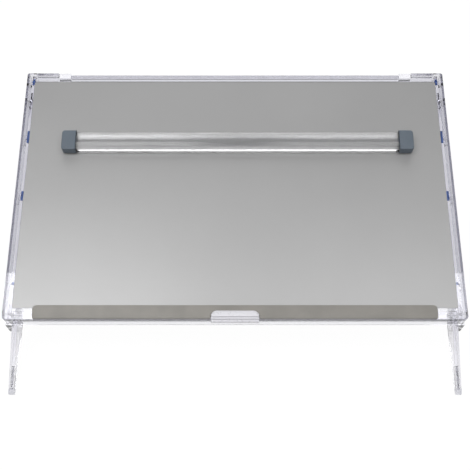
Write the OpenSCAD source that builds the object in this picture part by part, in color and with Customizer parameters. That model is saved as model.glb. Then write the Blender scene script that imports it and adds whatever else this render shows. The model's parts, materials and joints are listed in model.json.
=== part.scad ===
// Reading slope with a bar magnifier: a clear tray that carries a grey document panel slides on two
// clear side rails, four folding legs stand it on a desk, and a clear magnifying bar rests on the panel.
// "Board" coordinates are used throughout: x across, s up the slope, n square to the panel. s = 0 is
// where a document's lower edge stands and n = 0 is the top of the tray's clear margin.

/* [Slope] */
// Angle of the panel to the desk, in degrees
slope = 20; // [15:1:25]

/* [Tray] */
// Width of the tray across the desk
tray_w = 505; // [480:1:540]
// Front edge of the tray, along the slope
tray_front = -16; // [-18:0.5:-15]
// Rear edge of the tray, along the slope
tray_back = 298; // [290:1:310]
// Thickness of the tray's top plate
plate_t = 4; // [3.5:0.5:5]
// Depth of the skirt around the tray's front and sides
skirt_h = 17.5; // [17:0.25:17.5]
// Thickness of the skirt
skirt_t = 2; // [1.8:0.1:2.2]
// Travel of the tray over the keyboard
tray_travel = 150; // [80:5:160]

/* [Document panel and ledge] */
// Width of the document panel
panel_w = 485; // [460:1:485]
// Thickness of the document panel
panel_t = 1.2; // [1:0.1:1.4]
// Length of the ledge that a document stands on
ledge_w = 438; // [400:1:440]
// Depth of the ledge along the slope
ledge_d = 15; // [14:0.5:15]
// Height of the ledge above the tray
ledge_h = 5; // [4:0.5:6]
// Width of the pull grip
grip_w = 52; // [40:1:60]

/* [Magnifier] */
// Length of the magnifier over its end caps
bar_w = 410; // [380:1:430]
// Length of each end cap
cap_w = 16.4; // [16:0.1:22]
// Width of the lens along the slope
lens_d = 23.6; // [22:0.1:24]
// Height of the lens
lens_h = 9.4; // [8:0.1:9.6]
// Where the middle of the magnifier lies up the slope
bar_s = 200; // [150:1:240]
// Sideways offset of the magnifier
bar_x = 3; // [-10:0.5:10]

/* [Rails and legs] */
// Thickness of each side rail
rail_t = 6; // [5:0.5:7]
// Depth of the rails and size of the legs' round heads
rail_h = 28; // [27:0.5:28]
// Thickness of the legs
leg_t = 6; // [5:0.5:6]
// Reach of the front legs, pivot to toe
front_leg_l = 80.7; // [70:0.1:90]
// Angle between a front leg and the panel, in degrees
front_leg_tilt = 4.2; // [3:0.1:12]
// How far the rear feet stand behind their pivots
rear_splay = 18; // [10:1:24]

/* [Hidden] */
$fn = 64;

eps = 0.01;                        // reach of a cutter past the face that it opens
half_w = tray_w / 2;
corner_r = 5;                      // tray corners, seen from above

// Panel and its recess in the tray
panel_front = -2.4;
panel_back = 286;
panel_l = panel_back - panel_front;
panel_r = 2;                       // corner radius
recess_depth = 1.6;
recess_gap = 0.2;
panel_top = -0.4;                  // the panel lies a little below the clear margin

// Ledge and grip
ledge_back = -0.5;
ledge_rear_r = 4.5;
ledge_front_r = 2;
grip_h = 8;
grip_back = -7.5;
grip_gap = 0.4;
grip_r = 7;
grip_step = 1.6;                   // drop of each thumb ridge
grip_step_d = 2.4;                 // depth of each thumb ridge

// Tray flange that runs under the guide clips
flange_in = 1.9;
flange_t = 1.5;
lip_h = 8;                         // rear lip, short enough to pass over the rear crossbar
lip_end = half_w - 10.7;           // and narrow enough to pass between the rails' ribs
rear_inset = 3;                    // the middle of the rear edge is set in by this much

// Rails: a deep outer plate, and a rib that stands inside the tray's skirt on a narrow shelf
slide_gap = 0.5;                   // rail top to tray skirt
rail_top = -skirt_h - slide_gap;
rail_in = half_w - rail_t;
rail_bottom = rail_top - rail_h - 0.6;
rail_corner_r = 6;
shelf_t = 2.5;
shelf = rail_top + shelf_t;
shelf_out = rail_in + 1.6;
rib_in = half_w - 9.9;
rib_out = rib_in + 4;
rib_top = -plate_t - 0.6;
rib_front = tray_front + skirt_t + 0.5;
rib_back = tray_back - 2.5;

// Crossbars
bar_t = 6;
front_bar = [-12, -3];
rear_bar = [284, 298];
bar_screw_l = 14;
bar_screw_s = [for (b = [front_bar, rear_bar]) (b[0] + b[1]) / 2];
screw_n = shelf + bar_t / 2;       // height of the crossbar and clip screws
bar_screw_r = 1.5;
screw_head_h = 1.4;
screw_head_k = 1.6;                // a screw's head radius over its thread radius

// Backstop lugs stand up into notches in the tray's rear edge
lug_x = 207;
lug_w = 14;
lug_d = 6.5;
lug_top = -1;
notch_gap = 0.5;

// Guide clips and glide pads on each rail
clip_s = [28, 134, 211];
clip_l = 14;
clip_h = 5.8;
clip_out = half_w - skirt_t - 0.5;
clip_screw_l = 6.6;
clip_screw_r = 1;
pad_s = [[27, 3], [134, 12], [211, 16], [287, 8]];  // middle and length of each glide pad
pad_w = 3;
pad_x = (rib_in + rib_out) / 2;
pad_proud = 0.5;
pad_sunk = 1;

// Legs and pivots
head_r = 14;
pivot_n = rail_top - 0.6 - head_r;
front_pivot = [-4, pivot_n];
rear_pivot = [270, pivot_n];
front_toe_r = 4.2;
rear_toe_r = 5;
sole_cut = 0.8;                    // depth of the flat cut on each foot's rounded toe
leg_gap = 0.5;                     // rail to leg
leg_out = rail_in - leg_gap;
leg_in = leg_out - leg_t;
pin_r = 4;
pin_gap = 0.05;
pin_head_r = 6.5;
pin_head_t = 1.5;
washer_t = 0.5;
clip_ring_t = 0.8;
groove_mid = 9.2;                  // detent groove in the leg's head
groove_w = 3.6;
groove_depth = 0.9;
dimple_depth = 0.8;                // dimples in the groove's floor, where a leg clicks home
front_stops = [0, 15, 30, 45, 175];  // folding angles at which a front leg clicks
rear_stops = [0, -78];             // the same for a rear leg
plunger_r = 2;
plunger_nose = 0.6;
nose_r = [0.8, 1.6];               // radii of the plunger's tapered nose and of the dimples

// Foot inserts with a barbed stem pressed into a slot in the leg
toe_l = 6;                         // length of the insert outside the leg
stem_l = 24;
stem_t = 2.6;
stem_root = 1.5;
barb_h = 2.6;
barb_count = 4;
barb_pitch = 5;
slot_t = 3;
slot_h = 5.8;

// Magnifier
lens_base = 6;                     // straight part of the lens's sides
lens_lift = 1.2;                   // underside of the lens
lens_sag = lens_h - lens_base;
lens_r = (pow(lens_d / 2, 2) + pow(lens_sag, 2)) / (2 * lens_sag);
lens_seat = 5;                     // how far the lens goes into each cap
cap_d = 25.2;
cap_bottom = 0.6;
cap_top = 11.3;
cap_r = 3.5;
foot_pad_sunk = 0.7;
pad_margin = 3;                    // rubber pad to the cap's edges

// The frame: origin on the desk, under the middle of the object's box
function board_y(s, n) = s * cos(slope) - n * sin(slope);
function board_z(s, n) = s * sin(slope) + n * cos(slope);
front_toe = front_pivot + front_leg_l * [-cos(front_leg_tilt), -sin(front_leg_tilt)];
z0 = front_toe_r - sole_cut - board_z(front_toe[0], front_toe[1]);
y_low = board_y(front_toe[0], front_toe[1]) - front_toe_r;
y_high = board_y(tray_back - rail_corner_r, rail_bottom + rail_corner_r) + rail_corner_r;
y0 = -(y_low + y_high) / 2;

// Rear foot: where it stands, taken back into board coordinates
rear_foot_y = board_y(rear_pivot[0], rear_pivot[1]) + rear_splay;
rear_foot_z = rear_toe_r - sole_cut - z0;
rear_toe = [rear_foot_y * cos(slope) + rear_foot_z * sin(slope),
    rear_foot_z * cos(slope) - rear_foot_y * sin(slope)];

// Colours
clear = [0.86, 0.87, 0.92, 0.35];
clear_tint = [0.80, 0.81, 0.90, 0.45];
panel_grey = [0.66, 0.66, 0.66];
ledge_taupe = [0.55, 0.54, 0.51];
cap_slate = [0.38, 0.44, 0.48];
foot_smoke = [0.62, 0.62, 0.66, 0.6];
glide_blue = [0.22, 0.30, 0.55];
nylon = [0.90, 0.90, 0.88, 0.8];
steel = [0.72, 0.72, 0.74];

// Places its children, drawn in board coordinates, in the object's frame
module board() { translate([0, y0, z0]) rotate([slope, 0, 0]) children(); }

// Draws its children for the right side; side = -1 mirrors them to the left
module on_side(side) { mirror([side < 0 ? 1 : 0, 0, 0]) children(); }

// Extrudes an outline in s and n across x, from x by t
module across(x, t) { translate([x, 0, 0]) rotate([90, 0, 90]) linear_extrude(t) children(); }

// A box from its low corner to its high corner
module span(low, high) { translate(low) cube(high - low); }

// A rod along x
module rod(r, x_low, x_high) {
    translate([x_low, 0, 0]) rotate([0, 90, 0]) cylinder(r = r, h = x_high - x_low);
}

// A rectangle with round corners: rf at the front two, rb at the rear two
module rounded(w, low, high, rf, rb) {
    translate([-w / 2 + rf, low]) square([w - 2 * rf, high - low - rb]);
    translate([-w / 2 + rb, low + rf]) square([w - 2 * rb, high - low - rf]);
    translate([-w / 2, low + rf]) square([w, high - low - rf - rb]);
    for (side = [-1, 1]) {
        translate([side * (w / 2 - rf), low + rf]) circle(rf);
        translate([side * (w / 2 - rb), high - rb]) circle(rb);
    }
}

// A plate with round corners between two heights
module rounded_plate(w, low, high, rf, rb, n_low, n_high) {
    translate([0, 0, n_low]) linear_extrude(n_high - n_low) rounded(w, low, high, rf, rb);
}

// ---- Tray ----

module tray_shell() color(clear) board() difference() {
    union() {
        difference() {
            rounded_plate(tray_w, tray_front, tray_back, corner_r, corner_r / 2, -skirt_h, 0);
            rounded_plate(tray_w - 2 * skirt_t, tray_front + skirt_t, tray_back + 20,
                corner_r - skirt_t, corner_r - skirt_t, -skirt_h - eps, -plate_t);
        }
        for (side = [-1, 1]) on_side(side)
            span([half_w - skirt_t - flange_in, tray_front + skirt_t, -skirt_h],
                [half_w - skirt_t, tray_back - corner_r, -skirt_h + flange_t]);
        span([-lip_end, tray_back - skirt_t, -lip_h], [lip_end, tray_back, -plate_t]);
        span([-lug_x, tray_back - rear_inset - skirt_t, -lip_h],
            [lug_x, tray_back - rear_inset, -plate_t]);
    }
    rounded_plate(panel_w + 2 * recess_gap, panel_front - recess_gap, panel_back + recess_gap,
        panel_r, panel_r, -recess_depth, eps);
    span([-lug_x, tray_back - rear_inset, -skirt_h], [lug_x, tray_back + 1, eps]);
    for (side = [-1, 1]) on_side(side)
        span([lug_x - lug_w / 2 - notch_gap, tray_back - lug_d - notch_gap, -skirt_h],
            [lug_x + lug_w / 2 + notch_gap, tray_back + 1, eps]);
}

module document_panel() color(panel_grey) board()
    rounded_plate(panel_w, panel_front, panel_back, panel_r, panel_r, panel_top - panel_t, panel_top);

module document_ledge() color(ledge_taupe) board() difference() {
    rounded_plate(ledge_w, ledge_back - ledge_d, ledge_back, ledge_front_r, ledge_rear_r, 0, ledge_h);
    rounded_plate(grip_w + 2 * grip_gap, tray_front - grip_r * 2, grip_back + grip_gap,
        grip_r, grip_r, -eps, ledge_h + eps);
}

module pull_grip() color(clear_tint) board() difference() {
    rounded_plate(grip_w, tray_front, grip_back, 1, grip_r - 1, 0, grip_h);
    for (i = [1, 2])
        span([-grip_w, tray_front - 1, grip_h - grip_step * i],
            [grip_w, tray_front + grip_step_d * (3 - i) - 1, grip_h + eps]);
}

module travel_stops() color(clear_tint) board() for (side = [-1, 1]) on_side(side)
    span([lug_x - 12, front_bar[1] + tray_travel + 0.5, -plate_t - 10],
        [lug_x, front_bar[1] + tray_travel + 7, -plate_t]);

// ---- Base frame ----

// Side view of a rail's deep plate
module rail_outline() {
    low = rail_bottom;
    r = rail_corner_r;
    translate([tray_front, low + r]) square([tray_back - tray_front, rail_top - low - r]);
    translate([tray_front + r, low]) square([tray_back - tray_front - 2 * r, r + eps]);
    translate([tray_front + r, low + r]) circle(r);
    translate([tray_back - r, low + r]) circle(r);
}

module side_rail(side) color(clear) board() on_side(side) difference() {
    union() {
        across(rail_in, rail_t) rail_outline();
        span([rib_in, rib_front, rail_top - eps], [shelf_out, tray_back, shelf]);
        span([rib_in, rib_front, shelf - eps], [rib_out, rib_back, rib_top]);
    }
    for (p = [front_pivot, rear_pivot]) translate([0, p[0], p[1]]) {
        rod(pin_r + pin_gap, rail_in - 1, half_w + 1);
        rod(pin_head_r + 0.1, half_w - pin_head_t, half_w + 1);
        translate([0, 0, groove_mid]) rod(plunger_r, rail_in - 1, half_w + 1);
    }
    for (p = pad_s)
        span([pad_x - pad_w / 2, p[0] - p[1] / 2, rib_top - pad_sunk],
            [pad_x + pad_w / 2, p[0] + p[1] / 2, rib_top + eps]);
    for (s = bar_screw_s) translate([0, s, screw_n]) rod(bar_screw_r, rib_in - 1, rib_out + 1);
    for (s = clip_s) translate([0, s, screw_n]) rod(clip_screw_r, rib_in - 1, rib_out + 1);
}

// A crossbar is held at each end by a screw through the rib
module crossbar(b) color(clear) board() difference() {
    span([-rib_in, b[0], shelf], [rib_in, b[1], shelf + bar_t]);
    for (side = [-1, 1]) on_side(side) translate([0, (b[0] + b[1]) / 2, screw_n])
        rod(bar_screw_r, rib_out - bar_screw_l - 1, rib_in + 1);
}

// A slotted screw along x: its head starts at x = 0, and its shank goes down x by l
module screw(l, r) {
    difference() {
        rod(screw_head_k * r, 0, screw_head_h);
        translate([screw_head_h - 0.6, -0.35, -2 * r]) cube([1, 0.7, 4 * r]);
    }
    rod(r - 0.05, -l, eps);
}

module crossbar_screws() color(steel) board() for (side = [-1, 1], s = bar_screw_s) on_side(side)
    translate([rib_out, s, screw_n]) screw(bar_screw_l, bar_screw_r);

module backstop_lug(side) color(clear_tint) board() on_side(side)
    span([lug_x - lug_w / 2, tray_back - lug_d, shelf + bar_t], [lug_x + lug_w / 2, tray_back, lug_top]);

module guide_clips(side) color(clear_tint) board() on_side(side) for (s = clip_s) difference() {
    span([rib_out, s - clip_l / 2, shelf], [clip_out, s + clip_l / 2, shelf + clip_h]);
    translate([0, s, screw_n]) rod(clip_screw_r, rib_out - 1, clip_out + 1);
}

module clip_screws() color(steel) board() for (side = [-1, 1], s = clip_s) on_side(side)
    translate([rib_in, s, screw_n]) mirror([1, 0, 0]) screw(clip_screw_l, clip_screw_r);

module glide_pads(side) color(glide_blue) board() on_side(side) for (p = pad_s)
    span([pad_x - pad_w / 2, p[0] - p[1] / 2, rib_top - pad_sunk],
        [pad_x + pad_w / 2, p[0] + p[1] / 2, rib_top + pad_proud]);

// ---- Pivots ----

module at_pivot(side, p) { board() on_side(side) translate([0, p[0], p[1]]) children(); }

module pivot_pin(side, p) color(clear_tint) at_pivot(side, p) {
    rod(pin_r, leg_in - washer_t - clip_ring_t - 1, half_w - pin_head_t);
    rod(pin_head_r, half_w - pin_head_t, half_w);
}

module ring(r_in, r_out, x_low, x_high) difference() {
    rod(r_out, x_low, x_high);
    rod(r_in, x_low - 1, x_high + 1);
}

module each_pivot() { for (side = [-1, 1], p = [front_pivot, rear_pivot]) at_pivot(side, p) children(); }

module friction_washers() color(nylon) each_pivot()
    ring(pin_r + 0.02, pin_r + 3, leg_in - 0.1 - washer_t, leg_in - 0.1);

module pivot_clips() color(nylon) each_pivot()
    ring(pin_r + 0.02, pin_r + 2, leg_in - 0.2 - washer_t - clip_ring_t, leg_in - 0.2 - washer_t);

// The taper shared by a plunger's nose and its dimples, widening along x over h
module nose_cone(h) { rotate([0, 90, 0]) cylinder(r1 = nose_r[0], r2 = nose_r[1], h = h); }

// Sprung plunger in the rail; its tapered nose runs in the groove in the leg's head
module detent_plungers() color(nylon) each_pivot() translate([0, 0, groove_mid]) {
    rod(plunger_r - 0.05, rail_in + 0.5, half_w - 0.3);
    translate([leg_out - plunger_nose, 0, 0]) nose_cone(plunger_nose + leg_gap + 0.5 + eps);
}

// ---- Legs: drawn along +s from their pivot, then turned towards their toe ----

module toward(side, pivot, toe) at_pivot(side, pivot)
    rotate([atan2(toe[1] - pivot[1], toe[0] - pivot[0]), 0, 0]) children();

// Side view of a leg: a round head, two tangent edges and a round toe
module leg_outline(l, r) {
    b = asin((head_r - r) / l);
    circle(head_r);
    translate([l, 0]) circle(r);
    polygon([for (e = [[0, head_r, -1], [l, r, -1], [l, r, 1], [0, head_r, 1]])
        [e[0] + e[1] * sin(b), e[2] * e[1] * cos(b)]]);
}

// Where the plunger stands in the leg's own frame, once the leg has folded by f
function plunger_angle(pivot, toe, f) = 90 - f - atan2(toe[1] - pivot[1], toe[0] - pivot[0]);

module leg(side, pivot, toe, r, stops) color(clear) toward(side, pivot, toe) difference() {
    l = norm(toe - pivot);
    across(leg_in, leg_t) leg_outline(l, r);
    rod(pin_r + pin_gap, leg_in - 1, leg_out + 1);
    ring(groove_mid - groove_w / 2, groove_mid + groove_w / 2, leg_out - groove_depth, leg_out + 1);
    for (f = stops) rotate([plunger_angle(pivot, toe, f), 0, 0])
        translate([leg_out - groove_depth - dimple_depth, groove_mid, 0]) nose_cone(dimple_depth + eps);
    span([leg_in - 1, l + r - toe_l, -head_r], [leg_out + 1, l + 2 * r, head_r]);
    span([leg_mid() - slot_t / 2, l + r - toe_l - stem_l - 1, -slot_h / 2],
        [leg_mid() + slot_t / 2, l + 2 * r, slot_h / 2]);
}

function leg_mid() = (leg_in + leg_out) / 2;

// Side view of the barbed stem, pointing back from s = 0
module stem_outline() {
    translate([-stem_l, -stem_root]) square([stem_l + eps, 2 * stem_root]);
    for (i = [1:barb_count], up = [-1, 1])
        polygon([[-i * barb_pitch, 0], [-i * barb_pitch + 0.8, up * barb_h], [-i * barb_pitch - 3, 0]]);
}

module foot(side, pivot, toe, r) color(foot_smoke) difference() {
    l = norm(toe - pivot);
    toward(side, pivot, toe) {
        difference() {
            across(leg_in, leg_t) leg_outline(l, r);
            span([leg_in - 1, -head_r - 1, -head_r - 1], [leg_out + 1, l + r - toe_l + 0.1, head_r + 1]);
        }
        translate([0, l + r - toe_l + 0.1, 0]) across(leg_mid() - stem_t / 2, stem_t) stem_outline();
    }
    translate([0, 0, -50]) cube([2 * tray_w, 4 * tray_w, 100], center = true);
}

// ---- Magnifier ----

module at_bar() { board() translate([bar_x, bar_s, 0]) children(); }

module lens_outline() intersection() {
    translate([0, lens_h - lens_r]) circle(lens_r, $fn = 128);
    translate([-lens_d / 2, 0]) square([lens_d, lens_h + 1]);
}

module magnifier_lens() color(clear) at_bar() translate([0, 0, lens_lift])
    across(-lens_l() / 2, lens_l()) lens_outline();

function lens_l() = bar_w - 2 * cap_w + 2 * lens_seat - 0.4;

module magnifier_cap(side) color(cap_slate) at_bar() on_side(side) difference() {
    translate([bar_w / 2 - cap_w, 0, cap_bottom]) linear_extrude(cap_top - cap_bottom) {
        translate([0, -cap_d / 2]) square([cap_w - cap_r, cap_d]);
        translate([0, -cap_d / 2 + cap_r]) square([cap_w, cap_d - 2 * cap_r]);
        for (up = [-1, 1]) translate([cap_w - cap_r, up * (cap_d / 2 - cap_r)]) circle(cap_r);
    }
    translate([bar_w / 2 - cap_w - 1, -lens_d / 2 - 0.1, lens_lift - 0.1])
        cube([lens_seat + 1, lens_d + 0.2, lens_h + 0.2]);
    pad_box(0.1, foot_pad_sunk + 0.1);
}

// The seat of a cap's rubber pad, grown by gap and reaching up by sunk
module pad_box(gap, sunk) span(
    [bar_w / 2 - cap_w + lens_seat + 0.6 - gap, -cap_d / 2 + pad_margin - gap, cap_bottom - 1],
    [bar_w / 2 - pad_margin + gap, cap_d / 2 - pad_margin + gap, cap_bottom + sunk]);

module magnifier_pad(side) color([0.2, 0.2, 0.21]) at_bar() on_side(side)
    pad_box(0, foot_pad_sunk);

side_rail(-1);  // side_rail_left
side_rail(1);  // side_rail_right
crossbar(front_bar);  // front_crossbar
crossbar(rear_bar);  // rear_crossbar
backstop_lug(-1);  // backstop_lug_left
backstop_lug(1);  // backstop_lug_right
guide_clips(-1);  // guide_clips_left
guide_clips(1);  // guide_clips_right
glide_pads(-1);  // glide_pads_left
glide_pads(1);  // glide_pads_right
crossbar_screws();
clip_screws();
pivot_pin(-1, front_pivot);  // front_pivot_pin_left
pivot_pin(1, front_pivot);  // front_pivot_pin_right
pivot_pin(-1, rear_pivot);  // rear_pivot_pin_left
pivot_pin(1, rear_pivot);  // rear_pivot_pin_right
friction_washers();
pivot_clips();
detent_plungers();
tray_shell();
document_panel();
document_ledge();
pull_grip();
travel_stops();
leg(-1, front_pivot, front_toe, front_toe_r, front_stops);  // front_leg_left
leg(1, front_pivot, front_toe, front_toe_r, front_stops);  // front_leg_right
leg(-1, rear_pivot, rear_toe, rear_toe_r, rear_stops);  // rear_leg_left
leg(1, rear_pivot, rear_toe, rear_toe_r, rear_stops);  // rear_leg_right
foot(-1, front_pivot, front_toe, front_toe_r);  // front_foot_left
foot(1, front_pivot, front_toe, front_toe_r);  // front_foot_right
foot(-1, rear_pivot, rear_toe, rear_toe_r);  // rear_foot_left
foot(1, rear_pivot, rear_toe, rear_toe_r);  // rear_foot_right
magnifier_lens();
magnifier_cap(-1);  // magnifier_cap_left
magnifier_cap(1);  // magnifier_cap_right
magnifier_pad(-1);  // magnifier_pad_left
magnifier_pad(1);  // magnifier_pad_right
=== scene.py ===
"""Looks for a clear sloping document stand with a bar magnifier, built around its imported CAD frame."""

import json
import math

import bmesh
import bpy
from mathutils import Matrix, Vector


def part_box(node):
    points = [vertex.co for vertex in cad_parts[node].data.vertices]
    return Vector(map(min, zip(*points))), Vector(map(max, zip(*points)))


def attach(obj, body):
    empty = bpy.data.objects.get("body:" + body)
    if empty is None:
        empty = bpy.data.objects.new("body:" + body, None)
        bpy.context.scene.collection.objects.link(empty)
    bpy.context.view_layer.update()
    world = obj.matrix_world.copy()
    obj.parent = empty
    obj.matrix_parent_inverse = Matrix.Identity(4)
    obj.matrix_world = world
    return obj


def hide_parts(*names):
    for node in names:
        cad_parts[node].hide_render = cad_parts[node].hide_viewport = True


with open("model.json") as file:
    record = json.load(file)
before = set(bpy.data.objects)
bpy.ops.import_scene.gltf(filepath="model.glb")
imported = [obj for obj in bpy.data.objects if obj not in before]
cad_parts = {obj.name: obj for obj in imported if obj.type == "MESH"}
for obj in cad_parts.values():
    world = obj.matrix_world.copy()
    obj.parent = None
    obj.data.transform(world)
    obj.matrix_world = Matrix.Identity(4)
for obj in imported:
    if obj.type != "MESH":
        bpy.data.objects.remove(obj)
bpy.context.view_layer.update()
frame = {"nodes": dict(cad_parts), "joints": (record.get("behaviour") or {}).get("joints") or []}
nodes = frame["nodes"]

# ---- The board's own axes: x across, s up the slope, n square to the panel, in metres ----

SLIDE = next(j for j in frame["joints"] if j["name"] == "tray_slide")
UP_SLOPE = -Vector(SLIDE["axis"]).normalized()
SQUARE = Vector((0, -UP_SLOPE.z, UP_SLOPE.y))
TRAY_FRONT = -0.016                   # s of the tray's two ends
TRAY_BACK = 0.298


def board_origin():
    """Where s and n are 0; n is 0 all along the tray's top edges."""
    low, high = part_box("tray_shell")
    y = low.y - TRAY_FRONT * UP_SLOPE.y
    z = high.z - TRAY_BACK * UP_SLOPE.z
    return Vector((0, y, z))


ORIGIN = board_origin()


def on_board(x, s, n):
    """The world point at x, s and n."""
    return ORIGIN + Vector((x, 0, 0)) + s * UP_SLOPE + n * SQUARE


def local(point):
    """A world point's x, s and n."""
    offset = point - ORIGIN
    return offset.x, offset.dot(UP_SLOPE), offset.dot(SQUARE)


def board_box(name):
    """A node's lowest and highest x, s and n."""
    points = [local(v.co) for v in nodes[name].data.vertices]
    return tuple(map(min, zip(*points))), tuple(map(max, zip(*points)))


# ---- Camera ----

CAMERA_S = -0.3044                    # the camera's place in the board's axes
CAMERA_N = 0.9124
VIEW_TO_SLOPE = math.radians(66.95)   # between the line of sight and the board's slope
FOCAL_RATIO = 1.8766                  # focal length over the frame's width
SENSOR = 36.0


def add_camera():
    data = bpy.data.cameras.new("camera")
    data.sensor_width = SENSOR
    data.lens = SENSOR * FOCAL_RATIO
    data.clip_start = 0.01
    camera = bpy.data.objects.new("camera", data)
    bpy.context.scene.collection.objects.link(camera)
    sight = math.cos(VIEW_TO_SLOPE) * UP_SLOPE - math.sin(VIEW_TO_SLOPE) * SQUARE
    camera.location = on_board(0, CAMERA_S, CAMERA_N)
    camera.rotation_euler = sight.to_track_quat("-Z", "Y").to_euler()
    bpy.context.scene.camera = camera


# ---- Node helpers ----

NOISE_LOW, NOISE_HIGH = 0.3, 0.7      # nearly all of a noise's values lie between these


def set_range(node, start, end, low, high):
    """Makes a Map Range node carry start to end onto low to high."""
    for socket, number in zip(("From Min", "From Max", "To Min", "To Max"), (start, end, low, high)):
        node.inputs[socket].default_value = number


class Shader:
    """A material's node tree with one Principled shader; a noise's scale is a count per metre."""

    def __init__(self, name, colour, roughness, **values):
        self.material = bpy.data.materials.new(name)
        self.material.use_nodes = True
        self.tree = self.material.node_tree
        self.principled = self.tree.nodes["Principled BSDF"]
        self.output = self.tree.nodes["Material Output"]
        self.set("Base Color", (*colour, 1))
        self.set("Roughness", roughness)
        for key, value in values.items():
            self.set(key.replace("_", " ").title().replace("Ior", "IOR"), value)
        self.place = self.add("ShaderNodeTexCoord").outputs["Object"]

    def set(self, socket, value):
        self.principled.inputs[socket].default_value = value

    def add(self, kind):
        return self.tree.nodes.new(kind)

    def link(self, source, target):
        self.tree.links.new(source, target)

    def noise(self, scale, detail=2, stretch=(1, 1, 1)):
        mapping = self.add("ShaderNodeMapping")
        mapping.inputs["Scale"].default_value = stretch
        self.link(self.place, mapping.inputs["Vector"])
        noise = self.add("ShaderNodeTexNoise")
        noise.inputs["Scale"].default_value = scale
        noise.inputs["Detail"].default_value = detail
        self.link(mapping.outputs[0], noise.inputs["Vector"])
        return noise.outputs["Fac"]

    def vary_roughness(self, noise, low, high):
        node = self.add("ShaderNodeMapRange")
        set_range(node, NOISE_LOW, NOISE_HIGH, low, high)
        self.link(noise, node.inputs["Value"])
        self.link(node.outputs["Result"], self.principled.inputs["Roughness"])

    def vary_colour(self, noise, dark, light):
        node = self.add("ShaderNodeValToRGB")
        for stop, position, colour in zip(node.color_ramp.elements, (NOISE_LOW, NOISE_HIGH), (dark, light)):
            stop.position = position
            stop.color = (*colour, 1)
        self.link(noise, node.inputs["Fac"])
        self.link(node.outputs["Color"], self.principled.inputs["Base Color"])

    def bump(self, noise, height, strength):
        """Makes the surface look raised by up to height, in metres."""
        node = self.add("ShaderNodeBump")
        node.inputs["Distance"].default_value = height
        node.inputs["Strength"].default_value = strength
        self.link(noise, node.inputs["Height"])
        self.link(node.outputs["Normal"], self.principled.inputs["Normal"])

    def fill(self, tint, density):
        """Tints light by how far it travels inside the piece, so that edges look darker than faces."""
        inside = self.add("ShaderNodeVolumeAbsorption")
        inside.inputs["Color"].default_value = (*tint, 1)
        inside.inputs["Density"].default_value = density
        self.link(inside.outputs[0], self.output.inputs["Volume"])

    def let_light_through(self, tint):
        """Lets tinted light reach what is behind the piece, where a plain shadow would be black."""
        mix = self.add("ShaderNodeMixShader")
        path = self.add("ShaderNodeLightPath")
        clear = self.add("ShaderNodeBsdfTransparent")
        clear.inputs["Color"].default_value = (*tint, 1)
        self.link(path.outputs["Is Shadow Ray"], mix.inputs[0])
        self.link(self.principled.outputs[0], mix.inputs[1])
        self.link(clear.outputs[0], mix.inputs[2])
        self.link(mix.outputs[0], self.output.inputs["Surface"])


# ---- Materials ----

ACRYLIC_IOR = 1.49
ACRYLIC_CLEAR = (0.97, 0.97, 0.985)
LENS_CLEAR = (0.92, 0.92, 0.93)
SHELL_TINT = (0.50, 0.50, 0.56)       # what the tray's plastic tends to where light runs along it
FRAME_TINT = (0.60, 0.58, 0.75)       # the same for the rails
LEG_TINT = (0.60, 0.59, 0.68)         # the same for the legs, which are a little frosted
PANEL_DARK = (0.172, 0.1715, 0.172)
PANEL_LIGHT = (0.186, 0.1855, 0.186)
LEDGE_DARK = (0.142, 0.135, 0.121)
LEDGE_LIGHT = (0.173, 0.164, 0.147)
CAP_DARK = (0.064, 0.083, 0.105)
CAP_LIGHT = (0.080, 0.101, 0.125)
GLIDE_DARK = (0.07, 0.15, 0.45)
GLIDE_LIGHT = (0.10, 0.20, 0.55)
RUBBER_DARK = (0.022, 0.022, 0.024)
RUBBER_LIGHT = (0.045, 0.045, 0.048)


def clear_acrylic(name, haze, colour=ACRYLIC_CLEAR):
    """Polished acrylic whose roughness goes between the two values of haze."""
    shader = Shader(name, colour, haze[0], transmission_weight=1.0, ior=ACRYLIC_IOR)
    shader.vary_roughness(shader.noise(scale=35, detail=4), *haze)
    return shader


def tinted_acrylic(name, haze, tint, density):
    """Clear acrylic that takes on a tint where light goes a long way inside it."""
    shader = clear_acrylic(name, haze)
    shader.fill(tint, density)
    return shader


def panel_grey():
    """Matt sheet with a fine even grain and a slight unevenness of tone."""
    shader = Shader("panel_grey", PANEL_LIGHT, 0.37, specular_ior_level=1.0, ior=1.75)
    shader.vary_colour(shader.noise(scale=9, detail=3), PANEL_DARK, PANEL_LIGHT)
    shader.vary_roughness(shader.noise(scale=900), 0.37, 0.41)
    shader.bump(shader.noise(scale=1800), height=0.00006, strength=0.5)
    return shader


def satin_plastic(name, dark, light):
    """Moulded plastic with a spark-eroded grain."""
    shader = Shader(name, light, 0.35)
    shader.vary_colour(shader.noise(scale=40, detail=4), dark, light)
    shader.vary_roughness(shader.noise(scale=600), 0.35, 0.5)
    shader.bump(shader.noise(scale=1200), height=0.00008, strength=0.5)
    return shader


def steel():
    """Turned steel with fine rings of wear."""
    shader = Shader("steel", (0.6, 0.6, 0.62), 0.28, metallic=1.0)
    shader.vary_roughness(shader.noise(scale=300, detail=3), 0.2, 0.38)
    shader.bump(shader.noise(scale=600, stretch=(1, 6, 6)), height=0.00003, strength=0.4)
    return shader


def nylon():
    """Natural nylon, milky and a little translucent."""
    shader = Shader("nylon", (0.78, 0.77, 0.82), 0.35, transmission_weight=0.2, ior=1.53)
    shader.vary_roughness(shader.noise(scale=200), 0.3, 0.45)
    shader.let_light_through((0.7, 0.7, 0.7))
    return shader


def rubber():
    """Dull black rubber."""
    shader = Shader("rubber", RUBBER_LIGHT, 0.7)
    shader.vary_colour(shader.noise(scale=80, detail=3), RUBBER_DARK, RUBBER_LIGHT)
    shader.bump(shader.noise(scale=1500), height=0.0001, strength=0.6)
    return shader


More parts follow.
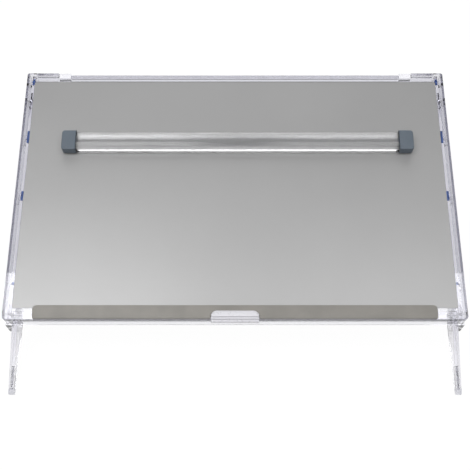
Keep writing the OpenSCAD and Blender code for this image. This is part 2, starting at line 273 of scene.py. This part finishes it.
def smoke_elastomer():
    """Translucent soft plastic of the feet."""
    shader = Shader("foot_elastomer", (0.55, 0.55, 0.6), 0.3, transmission_weight=0.6, ior=1.45)
    shader.vary_roughness(shader.noise(scale=120, detail=3), 0.25, 0.4)
    shader.bump(shader.noise(scale=900), height=0.00008, strength=0.4)
    shader.let_light_through((0.6, 0.6, 0.65))
    return shader


def frosted_grip():
    """Clear plastic moulded with a fine frost, so that it looks milky."""
    shader = Shader("grip_frosted", (0.60, 0.595, 0.63), 0.3,
                    transmission_weight=0.12, ior=ACRYLIC_IOR, coat_weight=0.5)
    shader.vary_roughness(shader.noise(scale=400), 0.25, 0.4)
    return shader


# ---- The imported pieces: groups, paint and edges ----


def both(stem):
    return [f"{stem}_{side}" for side in ("left", "right")]


RAILS = both("side_rail")
FRONT_LEGS = both("front_leg")
REAR_LEGS = both("rear_leg")
BONDED = ["front_crossbar", "rear_crossbar", "travel_stops", *both("backstop_lug"), *both("guide_clips")]
PINS = [*both("front_pivot_pin"), *both("rear_pivot_pin")]
NYLON = ["crossbar_screws", "friction_washers", "pivot_clips", "detent_plungers"]

FUSE = 1e-6                           # vertices nearer than this are one
GAP = 0.00003                         # left round pieces that touch clear ones
FLAT_ANGLE = math.radians(0.5)
SHARP_ANGLE = math.radians(40)


def paint(shader, *names):
    for name in names:
        materials = nodes[name].data.materials
        materials.clear()
        materials.append(shader.material)


def weld(node):
    node.modifiers.new("weld", "WELD").merge_threshold = FUSE


def set_apart(*names):
    """Draws pieces that only touch a hair apart, so that light crosses the air between them."""
    for name in names:
        node = nodes[name]
        weld(node)
        shrink = node.modifiers.new("shrink", "DISPLACE")
        shrink.mid_level = 0
        shrink.strength = -GAP


def soften(width, *names):
    """Rounds a node's sharp edges, as moulding and polishing do."""
    for name in names:
        node = nodes[name]
        weld(node)
        flat = node.modifiers.new("flat", "DECIMATE")
        flat.decimate_type = "DISSOLVE"
        flat.angle_limit = FLAT_ANGLE
        bevel = node.modifiers.new("edge", "BEVEL")
        bevel.width = width
        bevel.segments = 3
        bevel.limit_method = "ANGLE"
        bevel.angle_limit = SHARP_ANGLE
        bevel.use_clamp_overlap = False


# ---- Own pieces: lofts along x ----


def add_loft(name, sections, shader):
    """A solid through outlines in s and n, each given with its x."""
    mesh = bpy.data.meshes.new(name)
    form = bmesh.new()
    rings = [[form.verts.new(on_board(x, s, n)) for s, n in outline] for x, outline in sections]
    for a, b in zip(rings, rings[1:]):
        for i in range(len(a)):
            j = (i + 1) % len(a)
            form.faces.new((a[i], a[j], b[j], b[i]))
    form.faces.new(rings[0][::-1])
    form.faces.new(rings[-1])
    bmesh.ops.recalc_face_normals(form, faces=form.faces)
    form.to_mesh(mesh)
    form.free()
    mesh.polygons.foreach_set("use_smooth", [True] * len(mesh.polygons))
    mesh.set_sharp_from_angle(angle=SHARP_ANGLE)
    mesh.materials.append(shader.material)
    piece = bpy.data.objects.new(name, mesh)
    bpy.context.scene.collection.objects.link(piece)
    return piece


# ---- The ground lens ----

LENS_BASE = 0.006                     # height of its straight sides
LENS_EDGE = 0.0003                    # radius of its polished edges
LENS_TRIM = 0.8                       # degrees taken off each end of its crown
LENS_STEPS = 96


def arc(centre, radius, start, end, steps):
    """Points (s, n) on a circle, from one angle to another, in degrees."""
    turns = (math.radians(start + (end - start) * i / steps) for i in range(steps + 1))
    return [(centre[0] + radius * math.cos(a), centre[1] + radius * math.sin(a)) for a in turns]


def lens_outline(half, low, high):
    """A plano-convex section about s = 0, with its edges just broken."""
    rise = high - low - LENS_BASE
    radius = (half ** 2 + rise ** 2) / (2 * rise)
    reach = math.degrees(math.asin(half / radius)) - LENS_TRIM
    shoulder = low + LENS_BASE - LENS_EDGE
    e = LENS_EDGE
    return [
        *arc((-half + e, low + e), e, 180, 270, 4),
        *arc((half - e, low + e), e, 270, 360, 4),
        (half, shoulder),
        *arc((0, high - radius), radius, 90 - reach, 90 + reach, LENS_STEPS),
        (-half, shoulder),
    ]


def add_lens():
    low, high = board_box("magnifier_lens")
    middle = (low[1] + high[1]) / 2
    outline = [(middle + s, n) for s, n in lens_outline((high[1] - low[1]) / 2, low[2], high[2])]
    shader = clear_acrylic("acrylic_lens", (0.13, 0.15), LENS_CLEAR)
    lens = add_loft("lens_ground", [(low[0], outline), (high[0], outline)], shader)
    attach(lens, "magnifier")
    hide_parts("magnifier_lens")


# ---- The pull grip ----

GRIP_CORNER = 0.0065                  # radius of its rear corners, seen from above
GRIP_EDGE = 0.0009                    # how far its ends are rounded over
GRIP_END_HEIGHT = 0.82                # what is left of its height at its very ends
GRIP_TOP = 0.0002                     # least width of the flat between its front and its rim
GRIP_LIFT = 0.00006                   # keeps it just clear of the tray
GRIP_STEPS = 72
GRIP_FRONT = [                        # its ridged front in s and n, from its lowest front corner
    (0, 0), (0, 0.0036), (0.0003, 0.0043), (0.0010, 0.0047), (0.0019, 0.0047), (0.0023, 0.0041),
    (0.0027, 0.0044), (0.0030, 0.0057), (0.0036, 0.0062), (0.0044, 0.0062), (0.0048, 0.0055),
    (0.0052, 0.0058), (0.0055, 0.0068), (0.0060, 0.0071),
]
GRIP_RIM = [                          # its raised rear rim, down to its lowest rear corner
    (-0.0019, 0.0074), (-0.0014, 0.0078), (-0.0009, 0.0080), (-0.0004, 0.0077),
    (-0.0001, 0.0070), (0, 0.006), (0, 0),
]
GRIP_LEAST = GRIP_FRONT[-1][0] + GRIP_TOP - GRIP_RIM[0][0]


def quarter_round(into, radius):
    """Height of a quarter circle at a distance from where it is highest."""
    return math.sqrt(max(0, radius ** 2 - into ** 2))


def grip_section(x, half, front, rear):
    """The grip's outline in s and n at one x: its rear corners and its ends are rounded."""
    corner = max(0, abs(x) - (half - GRIP_CORNER))
    rear = max(rear - GRIP_CORNER + quarter_round(corner, GRIP_CORNER), front + GRIP_LEAST)
    end = max(0, abs(x) - (half - GRIP_EDGE)) / GRIP_EDGE
    height = GRIP_END_HEIGHT + (1 - GRIP_END_HEIGHT) * quarter_round(end, 1)
    outline = [(front + s, n) for s, n in GRIP_FRONT] + [(rear + s, n) for s, n in GRIP_RIM]
    return [(s, n * height + GRIP_LIFT) for s, n in outline]


def add_grip():
    low, high = board_box("pull_grip")
    half = (high[0] - low[0]) / 2
    xs = [-half * math.cos(math.pi * i / GRIP_STEPS) for i in range(GRIP_STEPS + 1)]
    sections = [(x, grip_section(x, half, low[1], high[1])) for x in xs]
    grip = add_loft("grip_moulded", sections, frosted_grip())
    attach(grip, "tray")
    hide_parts("pull_grip")


# ---- All pieces ----


def dress():
    paint(tinted_acrylic("acrylic_tray", (0.01, 0.04), SHELL_TINT, 115), "tray_shell")
    paint(tinted_acrylic("acrylic_frame", (0.05, 0.09), FRAME_TINT, 8), *RAILS, *BONDED, *PINS)
    paint(tinted_acrylic("acrylic_rear_leg", (0.13, 0.18), LEG_TINT, 22), *REAR_LEGS)
    paint(tinted_acrylic("acrylic_front_leg", (0.20, 0.26), LEG_TINT, 28), *FRONT_LEGS)
    add_lens()
    add_grip()
    paint(panel_grey(), "document_panel")
    paint(satin_plastic("ledge_taupe", LEDGE_DARK, LEDGE_LIGHT), "document_ledge")
    paint(satin_plastic("cap_slate", CAP_DARK, CAP_LIGHT), *both("magnifier_cap"))
    paint(satin_plastic("glide_blue", GLIDE_DARK, GLIDE_LIGHT), *both("glide_pads"))
    paint(nylon(), *NYLON)
    paint(steel(), "clip_screws")
    paint(rubber(), *both("magnifier_pad"))
    paint(smoke_elastomer(), *both("front_foot"), *both("rear_foot"))
    soften(0.0006, "document_ledge")
    soften(0.0010, *both("magnifier_cap"))
    soften(0.0004, *FRONT_LEGS, *REAR_LEGS)
    set_apart(*BONDED, *PINS, *NYLON, "clip_screws", *both("glide_pads"), "document_panel")


# ---- Studio ----

FLOOR_SIZE = 40.0
FLOOR_GREY = (0.04, 0.04, 0.04)
FLOOR_GLOW = 0.97                     # keeps the floor nearly white where it is shaded

UP = (0, 0, 1)
HIGH_BEHIND = (0, 0.74, 0.67)         # where the lens finds its rear band of light
SKY = [                               # direction, cosines where its light changes, strengths there
    (UP, (0.1, 0.5), (0.7, 0.34)),
    (HIGH_BEHIND, (0.84, 0.98), (0, 4.0)),
]
LAMPS = [                             # name, place, aim, width and depth, watts
    ("left_lamp", (-0.60, -0.36, 1.5), (-0.6, -0.25, 0), (1.0, 0.6), 11.0),
    ("right_lamp", (0.60, -0.36, 1.5), (0.6, -0.25, 0), (1.0, 0.6), 6.9),
    ("front_lamp", (-0.1, -0.62, 0.75), (-0.05, -0.12, 0.1), (1.2, 0.4), 3.0),
]


def add_floor():
    bpy.ops.mesh.primitive_plane_add(size=FLOOR_SIZE)
    floor = bpy.context.object
    floor.name = "floor"
    shader = Shader("floor", FLOOR_GREY, 0.8, specular_ior_level=0.0)
    shader.set("Emission Color", (1, 1, 1, 1))
    shader.set("Emission Strength", FLOOR_GLOW)
    floor.data.materials.append(shader.material)


def sky_light(tree, place, towards, cosines, strengths):
    """A white light whose strength goes by the cosine of the angle from one direction."""
    cosine = tree.nodes.new("ShaderNodeVectorMath")
    cosine.operation = "DOT_PRODUCT"
    cosine.inputs[1].default_value = Vector(towards).normalized()
    tree.links.new(place, cosine.inputs[0])
    fade = tree.nodes.new("ShaderNodeMapRange")
    fade.interpolation_type = "SMOOTHSTEP"
    set_range(fade, *cosines, *strengths)
    tree.links.new(cosine.outputs["Value"], fade.inputs["Value"])
    light = tree.nodes.new("ShaderNodeBackground")
    tree.links.new(fade.outputs["Result"], light.inputs["Strength"])
    return light.outputs[0]


def add_sky():
    """Bright at the horizon, which the clear edges draw with, and again high up behind the stand."""
    world = bpy.data.worlds.new("studio")
    bpy.context.scene.world = world
    world.use_nodes = True
    tree = world.node_tree
    place = tree.nodes.new("ShaderNodeTexCoord").outputs["Generated"]
    total = tree.nodes.new("ShaderNodeAddShader")
    for socket, light in zip(total.inputs, SKY):
        tree.links.new(sky_light(tree, place, *light), socket)
    tree.links.new(total.outputs[0], tree.nodes["World Output"].inputs["Surface"])


def add_lamp(name, place, aim, size, power):
    """A large soft light that the camera itself does not see."""
    data = bpy.data.lights.new(name, "AREA")
    data.shape = "RECTANGLE"
    data.size, data.size_y = size
    data.energy = power
    lamp = bpy.data.objects.new(name, data)
    lamp.visible_camera = False
    bpy.context.scene.collection.objects.link(lamp)
    lamp.location = place
    lamp.rotation_euler = (Vector(aim) - Vector(place)).to_track_quat("-Z", "Y").to_euler()


add_camera()
dress()
add_floor()
add_sky()
for lamp_values in LAMPS:
    add_lamp(*lamp_values)
bpy.context.scene.view_settings.view_transform = "Standard"
bpy.context.view_layer.update()
